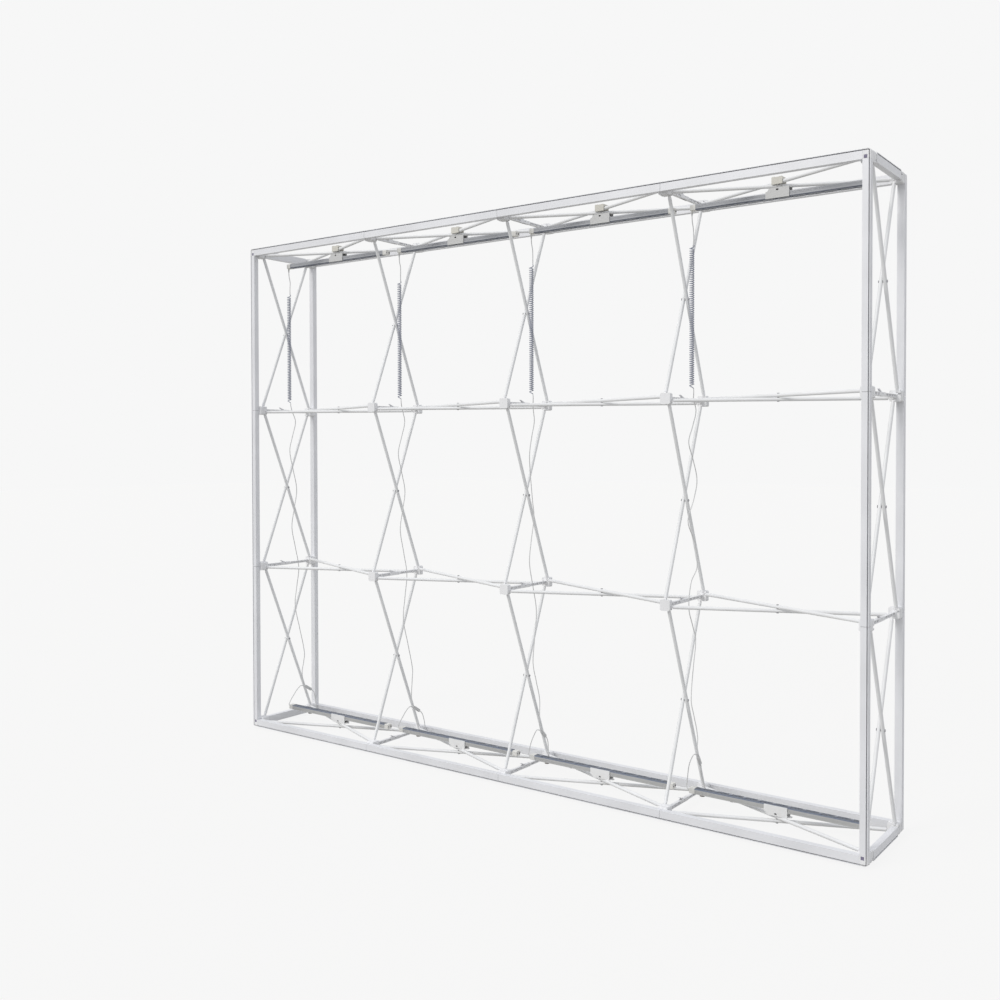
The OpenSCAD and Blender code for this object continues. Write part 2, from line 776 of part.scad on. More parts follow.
module light_saddles() {
  color("whitesmoke") at_lights() light_saddle();
}

// The pivot block caps each top crossing from outside: a ribbed top, and cheeks
// that reach down past the tubes.
module pivot_block() {
  base = tube_face + face_gap;
  difference() {
    union() {
      along_x(-block_len / 2, block_len / 2) difference() {
        translate([-block_w / 2, -base - block_h])
          square([block_w, block_h + base + block_skirt]);
        translate([-block_w / 2 + block_wall, -base])
          square([block_w - 2 * block_wall, base + block_skirt + cut]);
      }
      for (x = block_ribs, s = [-1, 1])
        translate([s * x - block_rib_w / 2, -block_w / 2, -base - block_h - block_rib_h])
          cube([block_rib_w, block_w, block_rib_h + 1]);
    }
    translate([0, 0, -base - block_h - cut])
      cylinder(h = block_h - block_floor + cut, d = rivet_head_d + 1);
    translate([0, 0, -base - block_h]) cylinder(h = block_h + cut, d = rivet_d + 2 * pin_gap);
  }
}

module pivot_blocks() {
  color("tan") for (i = [0 : bays_wide - 1]) at_light(i, 1) pivot_block();
}

// ---------------------------------------------------------------- leads

function unit(v) = v / norm(v);

// Tangent of a list of points at point k.
function tangent(pts, k) =
  unit(pts[min(k + 1, len(pts) - 1)] - pts[max(k - 1, 0)]);

// One ring of a tube round point k. ref is a direction that the route never takes.
function ring(pts, k, r, sides, ref) =
  let (t = tangent(pts, k), u = unit(cross(t, ref)), v = cross(t, u))
    [for (s = [0 : sides - 1])
      pts[k] + r * (cos(360 * s / sides) * u + sin(360 * s / sides) * v)];

// A closed tube swept along a list of points.
module sweep(pts, d, sides, ref) {
  n = len(pts);
  rings = [for (k = [0 : n - 1]) for (p = ring(pts, k, d / 2, sides, ref)) p];
  walls = [for (k = [0 : n - 2], s = [0 : sides - 1])
    let (a = k * sides + s, b = k * sides + (s + 1) % sides)
      for (f = [[a, b, a + sides], [b, b + sides, a + sides]]) f];
  start_cap = [for (s = [sides - 1 : -1 : 0]) s];
  end_cap = [for (s = [0 : sides - 1]) (n - 1) * sides + s];
  polyhedron(points = rings, faces = concat(walls, [start_cap, end_cap]));
}

// The curly section: straight tips on its axis, then a helix.
coil_points =
  let (r = (coil_d - lead_d) / 2, turns = coil_curls * curl_rings,
       tip = lead_d, climb = (coil_len - 4 * tip) / turns)
    concat([[0, 0, 0], [0, 0, -tip]],
           [for (k = [0 : turns])
             let (grow = min(1, min(k, turns - k) / 4))
               [grow * r * cos(k * 360 / curl_rings), grow * r * sin(k * 360 / curl_rings),
                -2 * tip - k * climb]],
           [[0, 0, tip - coil_len], [0, 0, -coil_len]]);

// Least gap between two curls, measured between points at least half a curl apart
echo(least_coil_gap = min([
  for (a = [0 : len(coil_points) - 1])
    for (b = [a + curl_rings / 2 : 1 : min(a + 2 * curl_rings, len(coil_points) - 1)])
      norm(coil_points[a] - coil_points[b]) - lead_d
]));

// A point given in a splitter's own frame, leaning by an angle about X.
function at_splitter(i, v) =
  let (a = splitter_lean[i])
    splitter_at[i] + [v[0], v[1] * cos(a) - v[2] * sin(a), v[1] * sin(a) + v[2] * cos(a)];

splitter_end = splitter_l / 2 + splitter_boss_l;
splitter_side = splitter_w / 2 + splitter_boss_l;
tip = 2 * lead_d;

module lead_coils() {
  color("white") for (i = [0 : bays_wide - 1]) translate([col_x(i) + lead_x, lead_y, coil_top])
    sweep(coil_points, lead_d, curl_sides, [0.02, 0.01, 1]);
}

module lead_tops() {
  color("white") for (i = [0 : bays_wide - 1]) translate([col_x(i), 0, 0])
    sweep([[lead_x, lead_y, top_gland_z], [lead_x, lead_y, top_gland_z - tip],
           [lead_x, lead_y + top_wave, (top_gland_z + coil_top) / 2],
           [lead_x, lead_y, coil_top + tip], [lead_x, lead_y, coil_top]],
          lead_d, lead_sides, [0, 1, 0]);
}

module lead_drops() {
  color("white") for (i = [0 : bays_wide - 1]) translate([col_x(i), 0, 0])
    sweep(concat([[lead_x, lead_y, coil_top - coil_len],
                  [lead_x, lead_y, coil_top - coil_len - tip]], drops[i],
                 [at_splitter(i, [0, splitter_side, 0])]),
          lead_d, lead_sides, [1, 0, 0]);
}

module lead_splitters() {
  color("gray") for (i = [0 : bays_wide - 1])
    translate([col_x(i), 0, 0] + splitter_at[i]) rotate([splitter_lean[i], 0, 0]) {
      linear_extrude(splitter_l, center = true) round_square(splitter_t, splitter_w, 2);
      cylinder(h = 2 * splitter_end, d = splitter_boss_d, center = true);
      rotate([-90, 0, 0]) cylinder(h = splitter_side, d = splitter_boss_d);
    }
}

module lead_tails() {
  color("white") for (i = [0 : bays_wide - 1]) translate([col_x(i), 0, 0]) {
    sweep([at_splitter(i, [0, 0, splitter_end]), [32, 38, 142], [10, 14, 90],
           [bottom_gland_x - 9, 0, bottom_light_z], [bottom_gland_x, 0, bottom_light_z]],
          lead_d, lead_sides, [0.5, 1, 0]);
    sweep(concat([at_splitter(i, [0, 0, -splitter_end])], supply_bends[i],
                 [supply_plug_at - [tip, 0, 0], supply_plug_at]),
          lead_d, lead_sides, [-0.2, 1, 0.1]);
  }
}

module supply_plugs() {
  color("dimgray") for (i = [0 : bays_wide - 1]) translate([col_x(i), 0, 0] + supply_plug_at)
    rod_x(0, supply_plug_l, supply_plug_d);
}

// ---------------------------------------------------------------- nodes

hubs(-1);  // front_hubs
hubs(1);  // rear_hubs
rail_seats();
corner_blocks();
black_plugs();
feet();
color("silver") row_tubes(0);  // bottom_row_tubes
color("silver") row_tubes(1);  // lower_row_tubes
color("silver") row_tubes(2);  // upper_row_tubes
color("silver") row_tubes(3);  // top_row_tubes
color("silver") column_tubes(0);  // column_1_tubes
color("silver") column_tubes(1);  // column_2_tubes
color("silver") column_tubes(2);  // column_3_tubes
color("silver") column_tubes(3);  // column_4_tubes
color("silver") column_tubes(4);  // column_5_tubes
tube_ends();
pivot_pins();
crossing_rivets();
hook_arms();
catch_arms();
end_rails();
end_rail_plugs();
rail(-1, 0);  // front_top_rail
rail(-1, 2);  // front_bottom_rail
rail(-1, 1);  // front_left_rail
rail(-1, 3);  // front_right_rail
rail(1, 0);  // rear_top_rail
rail(1, 2);  // rear_bottom_rail
rail(1, 1);  // rear_left_rail
rail(1, 3);  // rear_right_rail
light_housings();
light_boards();
light_lenses();
light_end_caps();
light_saddles();
pivot_blocks();
lead_tops();
lead_coils();
lead_drops();
lead_splitters();
lead_tails();
supply_plugs();
lever(1, 2);  // lever_row1_col2
lever(1, 3);  // lever_row1_col3
lever(1, 4);  // lever_row1_col4
lever(2, 1);  // lever_row2_col1
lever(2, 2);  // lever_row2_col2
lever(2, 3);  // lever_row2_col3
lever(2, 4);  // lever_row2_col4
lever(2, 5);  // lever_row2_col5
lever(3, 1);  // lever_row3_col1
lever(3, 2);  // lever_row3_col2
lever(3, 3);  // lever_row3_col3
lever(3, 4);  // lever_row3_col4
lever(3, 5);  // lever_row3_col5
lever(4, 2);  // lever_row4_col2
lever(4, 3);  // lever_row4_col3
lever(4, 4);  // lever_row4_col4
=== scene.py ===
# %% [markdown]
# # A pop-up display backwall in Blender
#
# The wall is a folding lattice: square plastic hubs, thin tubes that cross in every
# bay, and flat aluminium rails clipped round both faces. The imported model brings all
# of these as exact solids. This lesson gives them finishes, hangs the curly leads,
# and adds the small moulded and fixed details that a solid model leaves out.
# Every length is in metres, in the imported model's own frame: +X along the wall,
# -Y to the front, +Z up.

import math

import bmesh
import bpy
from mathutils import Matrix, Vector


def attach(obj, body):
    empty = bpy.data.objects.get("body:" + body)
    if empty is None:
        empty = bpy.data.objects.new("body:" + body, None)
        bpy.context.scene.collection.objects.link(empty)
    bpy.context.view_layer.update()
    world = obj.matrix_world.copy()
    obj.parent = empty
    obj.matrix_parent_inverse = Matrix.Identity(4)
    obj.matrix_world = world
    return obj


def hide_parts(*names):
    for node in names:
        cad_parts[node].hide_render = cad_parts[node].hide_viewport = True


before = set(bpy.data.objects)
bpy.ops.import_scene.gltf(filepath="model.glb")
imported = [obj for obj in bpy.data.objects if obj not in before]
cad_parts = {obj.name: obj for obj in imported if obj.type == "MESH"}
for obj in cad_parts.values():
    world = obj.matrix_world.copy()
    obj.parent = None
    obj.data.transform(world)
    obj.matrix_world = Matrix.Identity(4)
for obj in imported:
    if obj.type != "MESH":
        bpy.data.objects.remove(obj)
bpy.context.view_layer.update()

# %% [markdown]
# ## The camera
#
# The photograph was taken from the right, a little above half height, through a
# normal lens, and then cropped. A crop could be made by turning the camera away, but
# that would lean the uprights, so it is the lens shift. The yaw, the height and the
# distance come from fitting the corners of the rails.

# %% Camera
CAMERA_PLACE = (2.560, -3.287, 1.327)
CAMERA_YAW = 33.29
CAMERA_PITCH = -1.05
CAMERA_LENS = 36.82
CAMERA_SENSOR = 36
CAMERA_CROP = (-0.1092, -0.0343)

camera = bpy.data.objects.new("camera", bpy.data.cameras.new("camera"))
bpy.context.scene.collection.objects.link(camera)
camera.location = CAMERA_PLACE
camera.rotation_euler = (math.radians(90 + CAMERA_PITCH), 0, math.radians(CAMERA_YAW))
camera.data.sensor_width = CAMERA_SENSOR
camera.data.lens = CAMERA_LENS
camera.data.shift_x, camera.data.shift_y = CAMERA_CROP
bpy.context.scene.camera = camera
print("camera at", CAMERA_PLACE)

# %% [markdown]
# ## The sizes that the details share
#
# The lattice repeats on one pitch, so a column and a bay are found by counting.
# The wall has five columns of hubs and four rows. A light bar lies in the top and
# the bottom row of every bay, a little to the left of the bay's middle.

# %% The lattice
PITCH = 0.735
COLUMNS = 5
ROWS = 4
BAYS = COLUMNS - 1
BOTTOM_ROW_Z = 0.029


def column_x(i):
    return (i - (COLUMNS - 1) / 2) * PITCH


def bay_x(i):
    return column_x(i) + PITCH / 2


def row_z(j):
    return BOTTOM_ROW_Z + j * PITCH


print("columns at", [round(column_x(i), 4) for i in range(COLUMNS)])
print("rows at", [round(row_z(j), 4) for j in range(ROWS)])

# %% The light bars
LIGHT_LEN = 0.666
LIGHT_SHIFT = -0.010  # from the middle of the bay
LIGHT_DROP = 0.030  # from the middle of the row to the back of the bar
LIGHT_H = 0.020
GLAND_LEN = 0.006
GLAND_IN = 0.0045  # from the end of a top bar to the middle of its gland
LIGHT_LEFT = PITCH / 2 + LIGHT_SHIFT - LIGHT_LEN / 2
light_mid = LIGHT_DROP + LIGHT_H / 2
print("a bar starts", round(LIGHT_LEFT, 4), "right of its column")

# %% [markdown]
# ## Smooth routes
#
# A lead is soft wire, so its route is a few chosen points joined by one smooth
# curve. A Bezier curve needs two handles at every point, and a NURBS curve misses
# its own points. A Catmull-Rom curve passes through every point without handles,
# which keeps the ends exactly in their glands. The wire itself is a curve with a
# thickness, so that its length can be read from its line.

# %% Route helpers
ROUND_STEPS = 2  # how finely the thickness of a wire is rounded
ROUTE_STEPS = 6  # pieces between two points of a route


def smooth(points, steps=ROUTE_STEPS):
    """A smooth line through the points, with steps pieces between each two."""
    p = [Vector(v) for v in points]
    p = [p[0] * 2 - p[1]] + p + [p[-1] * 2 - p[-2]]
    line = []
    for k in range(1, len(p) - 2):
        a, b, c, d = p[k - 1], p[k], p[k + 1], p[k + 2]
        gap = (c - b).length
        go = (c - a) * gap / ((b - a).length + gap)
        come = (d - b) * gap / ((d - c).length + gap)
        for s in range(steps):
            t = s / steps
            line.append(
                b * (2 * t**3 - 3 * t**2 + 1)
                + go * (t**3 - 2 * t**2 + t)
                + c * (3 * t**2 - 2 * t**3)
                + come * (t**3 - t**2)
            )
    return line + [p[-2]]


def route_length(line):
    return sum((b - a).length for a, b in zip(line, line[1:]))


def wire(name, line, diameter):
    """A round wire along a line of points, as a curve with a thickness."""
    curve = bpy.data.curves.new(name, "CURVE")
    curve.dimensions = "3D"
    curve.bevel_depth = diameter / 2
    curve.bevel_resolution = ROUND_STEPS
    curve.use_fill_caps = True
    spline = curve.splines.new("POLY")
    spline.points.add(len(line) - 1)
    for point, place in zip(spline.points, line):
        point.co = (*place, 1)
    spline.use_smooth = True
    obj = bpy.data.objects.new(name, curve)
    bpy.context.scene.collection.objects.link(obj)
    return obj


# %% [markdown]
# ## The leads
#
# Each of the four leads brings power to the two lights of a bay. It leaves the top
# light, runs into a curly section that stretches when the wall is folded, and hangs
# down to a small splitter beside the bottom light. A tail goes from the splitter to
# that light, and another to a plug on the floor. The waves of a lead are the set
# that its sheath keeps from having been coiled.
#
# The waves could come from a formula, but the four leads hang differently, so their
# points are listed one by one and lie on the routes of the solids. All points are given
# from the foot of the lead's own column.

# %% Lead sizes and ends
LEAD_D = 0.0036
LEAD_X = LIGHT_LEFT + GLAND_IN
LEAD_Y = -0.004
TOP_GLAND_Z = row_z(ROWS - 1) - LIGHT_DROP - LIGHT_H - GLAND_LEN
BOTTOM_GLAND_X = LIGHT_LEFT - GLAND_LEN
BOTTOM_LIGHT_Z = row_z(0) + light_mid


def beside(i, points):
    """Points given from a column's foot, moved to that column."""
    return [Vector((column_x(i), 0, 0)) + Vector(p) for p in points]


print("top glands at", round(TOP_GLAND_Z, 4), "high")

# %% Splitter and plug places
SPLITTER_L = 0.038
SPLITTER_W = 0.013
SPLITTER_T = 0.008
SPLITTER_BOSS = 0.005  # the length of the sleeve at each port
PORT_STEP = 0.0031  # from the middle of the upper end to each of its two ports
PLUG_AT = Vector((0.110, 0.136, 0.0055))

# Centre of each splitter beside its column, and how far it leans from upright
SPLITTER_AT = [
    Vector((0.042, 0.091, 0.142)), Vector((0.042, 0.084, 0.142)),
    Vector((0.042, 0.057, 0.150)), Vector((0.042, 0.034, 0.170)),
]
SPLITTER_LEAN = [55, 55, 45, 30]
splitter_end = SPLITTER_L / 2 + SPLITTER_BOSS


def leaning(i):
    """The turn of a splitter about the line along the wall."""
    return Matrix.Rotation(math.radians(SPLITTER_LEAN[i]), 4, "X")


def in_splitter(i, place):
    """A point given in a splitter's own frame, moved to where it hangs."""
    return Vector((column_x(i), 0, 0)) + SPLITTER_AT[i] + leaning(i) @ Vector(place)


print("splitters at", [round(place.z, 3) for place in SPLITTER_AT], "high")

# %% [markdown]
# ## The curly section
#
# This is the wound part of the lead that acts as a spring. A Screw modifier or an
# array of one curl could wind it, but then it would be a piece apart from the rest
# of the wire. Here a loop works out a helix on an upright axis, and the whole lead
# stays one curve. The first and last turns open out, so the wire never bends
# sharply where it leaves the coil.

# %% The curls
COIL_D = 0.019
COIL_TOP = 2.060
COIL_LEN = 0.52
CURLS = 64
STEPS_PER_CURL = 12
END_STRETCH = 3  # the very first and last steps go down this much more than the rest
coil_bottom = COIL_TOP - COIL_LEN
curl_radius = (COIL_D - LEAD_D) / 2
lead_edge = LEAD_X + curl_radius


def curly_line(i):
    """The curly section, from its top to its bottom."""
    total = CURLS * STEPS_PER_CURL
    opening = [max(0, 1 - min(k, total - 1 - k) / STEPS_PER_CURL) for k in range(total)]
    drop = [1 + END_STRETCH * o * o for o in opening]
    scale = COIL_LEN / sum(drop)
    line, z = [], COIL_TOP
    for k in range(total + 1):
        turn = 2 * math.pi * k / STEPS_PER_CURL
        line.append((LEAD_X + curl_radius * math.cos(turn),
                     LEAD_Y + curl_radius * math.sin(turn), z))
        if k < total:
            z -= drop[k] * scale
    return beside(i, line)


print("wire in a curly section", round(route_length(curly_line(0)), 2))

# %% The top of a lead
TOP_WAVE = 0.005
TOP_STEPS = 8


def top_line(i):
    """From the gland of the top light down to the curly section."""
    return smooth(beside(i, [
        (LEAD_X, LEAD_Y, TOP_GLAND_Z), (LEAD_X, LEAD_Y, TOP_GLAND_Z - 0.014),
        (LEAD_X + 0.001, LEAD_Y + 0.001, TOP_GLAND_Z - 0.034),
        (LEAD_X + 0.003, LEAD_Y + TOP_WAVE, (TOP_GLAND_Z + COIL_TOP) / 2),
        (lead_edge - 0.001, LEAD_Y + 0.001, COIL_TOP + 0.030),
        (lead_edge, LEAD_Y, COIL_TOP + 0.012), (lead_edge, LEAD_Y, COIL_TOP)]), TOP_STEPS)


print("wire above a curly section", round(route_length(top_line(0)), 3))

# %% The long drop of a lead
# Free points of each lead between its coil and its splitter
DROPS = [
    [(.030, .010, 1.500), (.030, .030, 1.450), (.030, .012, 1.380),
     (.030, -.005, 1.310), (.030, .015, 1.215), (.030, .035, 1.120),
     (.030, .020, 1.030), (.030, .005, .940), (.030, .025, .840),
     (.030, .045, .740), (.031, .032, .650), (.032, .020, .560),
     (.035, .045, .440), (.038, .070, .320), (.040, .062, .270),
     (.042, .052, .232), (.042, .055, .196)],
    [(.030, .008, 1.500), (.030, .025, 1.440), (.030, .005, 1.370),
     (.030, -.015, 1.300), (.030, .005, 1.215), (.030, .025, 1.130),
     (.030, .010, 1.045), (.030, -.005, .960), (.030, .015, .860),
     (.030, .035, .760), (.031, .022, .660), (.032, .010, .560),
     (.035, .035, .445), (.038, .060, .330), (.040, .056, .280),
     (.042, .050, .235), (.042, .050, .196)],
    [(.030, .005, 1.490), (.030, .013, 1.430), (.030, -.002, 1.376),
     (.030, -.017, 1.311), (.030, -.018, 1.262), (.030, .000, 1.111),
     (.030, .010, 1.046), (.030, -.008, .950), (.030, -.020, .860),
     (.030, .003, .760), (.030, .025, .660), (.031, .012, .550),
     (.032, .000, .450), (.035, .018, .370), (.038, .035, .300),
     (.042, .030, .235), (.042, .029, .200)],
    [(.030, .008, 1.500), (.030, .027, 1.460), (.030, .000, 1.400),
     (.030, -.028, 1.345), (.030, .003, 1.285), (.030, .035, 1.205),
     (.030, .010, 1.133), (.030, -.033, 1.058), (.030, .020, .975),
     (.030, .037, .884), (.030, -.008, .833), (.030, -.025, .740),
     (.030, .005, .670), (.030, .027, .618), (.031, .005, .507),
     (.033, -.012, .400), (.036, .004, .340), (.038, .020, .290),
     (.040, .025, .254), (.041, .021, .228)],
]
STRAIGHT_IN = 0.010  # the wire's last straight stretch before a splitter


def drop_line(i):
    """From the curly section down into the splitter's upper end."""
    leave = beside(i, [(lead_edge, LEAD_Y, coil_bottom),
                       (lead_edge, LEAD_Y + 0.001, coil_bottom - 0.015)])
    enter = [in_splitter(i, (0, PORT_STEP, splitter_end + s)) for s in (STRAIGHT_IN, 0)]
    return smooth(leave + beside(i, DROPS[i]) + enter)


print("wire in each drop", [round(route_length(drop_line(i)), 2) for i in range(BAYS)])

# %% [markdown]
# ## The two tails
#
# The tail to the light leaves the splitter's leaning upper end, so it goes over in a
# low arch before it sinks to the gland. The supply tail hangs down behind the bottom
# hub and lies on the floor. A physics run could let them hang, but it would need
# tuning at every change, so their few bends are given one by one like those above.

# %% The tail to the bottom light
LIGHT_TAIL_OUT = 0.008  # the straight stretch where the tail leaves the splitter


def light_tail_line(i):
    """From the splitter's upper end in a low arch to the bottom light's gland."""
    start = [in_splitter(i, (0, -PORT_STEP, splitter_end + s)) for s in (0, LIGHT_TAIL_OUT)]
    high = start[1] - Vector((column_x(i), 0, 0))
    # The arch turns down about halfway to the light, and clear of the splitter
    hang = min(high.y * 0.52, high.y - 0.018)
    return smooth(start + beside(i, [
        (0.037, high.y - 0.014, high.z + 0.003), (0.028, hang, high.z - 0.014),
        (0.018, hang * 0.55, high.z - 0.042), (0.010, hang * 0.25, 0.094),
        (0.0070, 0.002, 0.078), (0.0072, 0, BOTTOM_LIGHT_Z + 0.0090),
        (0.0098, 0, BOTTOM_LIGHT_Z + 0.0026), (0.0150, 0, BOTTOM_LIGHT_Z),
        (BOTTOM_GLAND_X, 0, BOTTOM_LIGHT_Z)]))


print("light tails", [round(route_length(light_tail_line(i)), 3) for i in range(BAYS)])

# %% The tail to the floor
SUPPLY_TAIL_OUT = 0.006
STRAIGHT_TO_PLUG = 0.014

# Bends of each supply tail between its splitter and the floor
SUPPLY_BENDS = [
    [(.043, .124, .112), (.044, .131, .080), (.047, .134, .040), (.062, .135, .012)],
    [(.043, .118, .112), (.044, .128, .080), (.047, .134, .040), (.062, .135, .012)],
    [(.038, .092, .108), (.034, .100, .076), (.032, .106, .046), (.036, .112, .024),
     (.058, .126, .010)],
    [(.034, .062, .122), (.027, .084, .092), (.026, .100, .062), (.034, .110, .032),
     (.058, .126, .010)],
]


def supply_tail_line(i):
    """From the splitter's lower end to the plug on the floor."""
    start = [in_splitter(i, (0, 0, -splitter_end - s)) for s in (0, SUPPLY_TAIL_OUT)]
    return smooth(start + beside(i, SUPPLY_BENDS[i] + [
        (PLUG_AT.x - STRAIGHT_TO_PLUG, PLUG_AT.y, PLUG_AT.z), PLUG_AT]))


print("supply tails", [round(route_length(supply_tail_line(i)), 3) for i in range(BAYS)])

# %% Hang the leads and their tails
leads, light_tails, supply_tails = [], [], []

for i in range(BAYS):
    line = top_line(i)[:-1] + curly_line(i) + drop_line(i)[1:]
    leads.append((wire(f"lead_{i + 1}", line, LEAD_D), line))
    tail = light_tail_line(i)
    light_tails.append((wire(f"light_tail_{i + 1}", tail, LEAD_D), tail))
    tail = supply_tail_line(i)
    supply_tails.append((wire(f"supply_tail_{i + 1}", tail, LEAD_D), tail))

print("lead lengths", [round(route_length(line), 2) for _, line in leads])

# %% [markdown]
# ## Turned and moulded small parts
#
# Splitters, plugs, sleeves and screws are round or brick-like, so two helpers make
# most of them. A round part is a profile that `spin` turns about an axis. A moulded
# part is a cube that `bevel` rounds. Modifiers could do both, but each small part
# would then be an object of its own. As bmesh operators they can be laid out by a
# loop and joined, and both give closed shells with faces outwards.

# %% From a bmesh to a piece
SHARP_FROM = 35


def finished(name, bm, material, body="frame"):
    """Turn a bmesh into an object with a finish, riding on a body."""
    bmesh.ops.recalc_face_normals(bm, faces=bm.faces)
    mesh = bpy.data.meshes.new(name)
    bm.to_mesh(mesh)
    bm.free()
    for polygon in mesh.polygons:
        polygon.use_smooth = True
    mesh.set_sharp_from_angle(angle=math.radians(SHARP_FROM))
    obj = bpy.data.objects.new(name, mesh)
    bpy.context.scene.collection.objects.link(obj)
    mesh.materials.append(material)
    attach(obj, body)
    return obj


def add_part(bm, part, place):
    """Move a part by a matrix and add it to a larger piece."""
    bmesh.ops.transform(part, matrix=place, verts=part.verts)
    carrier = bpy.data.meshes.new("carrier")
    part.to_mesh(carrier)
    part.free()
    bm.from_mesh(carrier)
    bpy.data.meshes.remove(carrier)


# %% Turned and moulded parts
WELD = 1e-6


def turned(bm, profile, place, steps=16):
    """Spin a profile of (radius, height) about Z, and add it at a place."""
    part = bmesh.new()
    verts = [part.verts.new((r, 0, z)) for r, z in profile]
    edges = [part.edges.new(pair) for pair in zip(verts, verts[1:])]
    bmesh.ops.spin(part, geom=verts + edges, cent=(0, 0, 0), axis=(0, 0, 1),
                   angle=2 * math.pi, steps=steps, use_merge=True)
    bmesh.ops.remove_doubles(part, verts=part.verts, dist=WELD)
    add_part(bm, part, place)


def moulded(bm, size, radius, place, segments=3):
    """A block with rounded edges, added at a place."""
    part = bmesh.new()
    bmesh.ops.create_cube(part, size=1, matrix=Matrix.Diagonal((*size, 1)))
    bmesh.ops.bevel(part, geom=part.edges[:], offset=radius, affect="EDGES",
                    segments=segments, profile=0.5, material=-1)
    add_part(bm, part, place)


def facing(place, direction):
    """A matrix that puts a part's +Z along a direction, at a place."""
    turn = Vector(direction).to_track_quat("Z", "Y").to_matrix().to_4x4()
    return Matrix.Translation(place) @ turn


# %% [markdown]
# ## How a finish is made
#
# Nothing on the wall has a strong colour, and little of it shines. What tells the
# parts apart is how light lies on them: extrusion lines run along the rails, the
# tubes are evenly satin, and the mouldings have a fine spark-eroded grain. Painted
# pictures could show this, but they blur up close and need a flat layout of every
# piece. One helper builds all of it from two noises on Object coordinates, at any
# scale. The coarse noise shifts the colour a little. The fine one is the grain, as a
# bump and as uneven gloss. Stretching the fine noise along one axis turns grain into
# extrusion lines.

# %% Node helpers
def feed(tree, node, inputs):
    """Give each input a value, or a link from another node's output."""
    for socket, given in inputs.items():
        if isinstance(given, bpy.types.NodeSocket):
            tree.links.new(given, node.inputs[socket])
        else:
            node.inputs[socket].default_value = given


def add_node(tree, kind, inputs):
    """A new node of a kind, with its inputs given."""
    node = tree.nodes.new(kind)
    feed(tree, node, inputs)
    return node


def maths(tree, operation, *values):
    """The output of a Math node that works on values or other outputs."""
    node = tree.nodes.new("ShaderNodeMath")
    node.operation = operation
    feed(tree, node, dict(enumerate(values)))
    return node.outputs["Value"]


def mixed(tree, factor, first, second, blend="MIX"):
    """The output of a Mix node that lays a second colour over a first."""
    node = tree.nodes.new("ShaderNodeMix")
    node.data_type = "RGBA"
    node.blend_type = blend
    feed(tree, node, {"Factor": factor, "A": first, "B": second})
    return node.outputs["Result"]


# %% Tone, grain and zones
CLOUD_DETAIL = 5
GRAIN_DETAIL = 3
TONE_RANGE = (0.3, 0.7)


def cloudy_tone(tree, place, colour, cloud, shift):
    """A colour that goes a little darker and lighter in soft clouds."""
    coarse = add_node(tree, "ShaderNodeTexNoise",
                      {"Vector": place, "Scale": cloud, "Detail": CLOUD_DETAIL})
    tone = add_node(tree, "ShaderNodeValToRGB", {"Fac": coarse.outputs["Fac"]})
    dark, light = tone.color_ramp.elements
    dark.position, light.position = TONE_RANGE
    dark.color = (*[c * (1 - shift) for c in colour], 1)
    light.color = (*[min(1, c * (1 + shift / 2)) for c in colour], 1)
    return tone.outputs["Color"]


def fine_grain(tree, place, grain):
    """A fine noise with its own number of specks a metre along each axis."""
    stretch = add_node(tree, "ShaderNodeMapping", {"Vector": place, "Scale": grain})
    fine = add_node(tree, "ShaderNodeTexNoise", {
        "Vector": stretch.outputs["Vector"], "Scale": 1, "Detail": GRAIN_DETAIL})
    return fine.outputs["Fac"]


def zoned(tree, place, painted, zones):
    """The colour with each zone's own colour over it."""
    split = add_node(tree, "ShaderNodeSeparateXYZ", {"Vector": place})
    for axis, middle, reach, colour in zones:
        inside = maths(tree, "COMPARE", split.outputs[axis], middle, reach)
        painted = mixed(tree, inside, painted, (*colour, 1))
    return painted


# %% Finish helper
GRAIN_DEPTH = 0.0002
GLOSS_SPREAD = 0.07
LEAST_ROUGHNESS = 0.02


def finish(name, colour, roughness, metallic=0.0, grain=(900, 900, 900), bump=0.15,
           cloud=6.0, shift=0.06, coat=0.0, zones=()):
    """A satin or moulded finish with grain, cloudy tone and uneven gloss.

    A zone is another colour that a stretch of the piece has: the axis, the middle
    and half the width of the stretch, and the colour. A later zone covers an earlier.
    """
    material = bpy.data.materials.new(name)
    material.use_nodes = True
    tree = material.node_tree
    place = tree.nodes.new("ShaderNodeTexCoord").outputs["Object"]
    tone = cloudy_tone(tree, place, colour, cloud, shift)
    fine = fine_grain(tree, place, grain)
    painted = mixed(tree, shift, tone, fine, "MULTIPLY")
    gloss = add_node(tree, "ShaderNodeMapRange", {
        "Value": fine, "To Min": max(LEAST_ROUGHNESS, roughness - GLOSS_SPREAD),
        "To Max": min(1, roughness + GLOSS_SPREAD)})
    relief = add_node(tree, "ShaderNodeBump", {
        "Height": fine, "Strength": bump, "Distance": GRAIN_DEPTH})
    feed(tree, tree.nodes["Principled BSDF"], {
        "Base Color": zoned(tree, place, painted, zones),
        "Roughness": gloss.outputs["Result"], "Normal": relief.outputs["Normal"],
        "Metallic": metallic, "Coat Weight": coat})
    return material
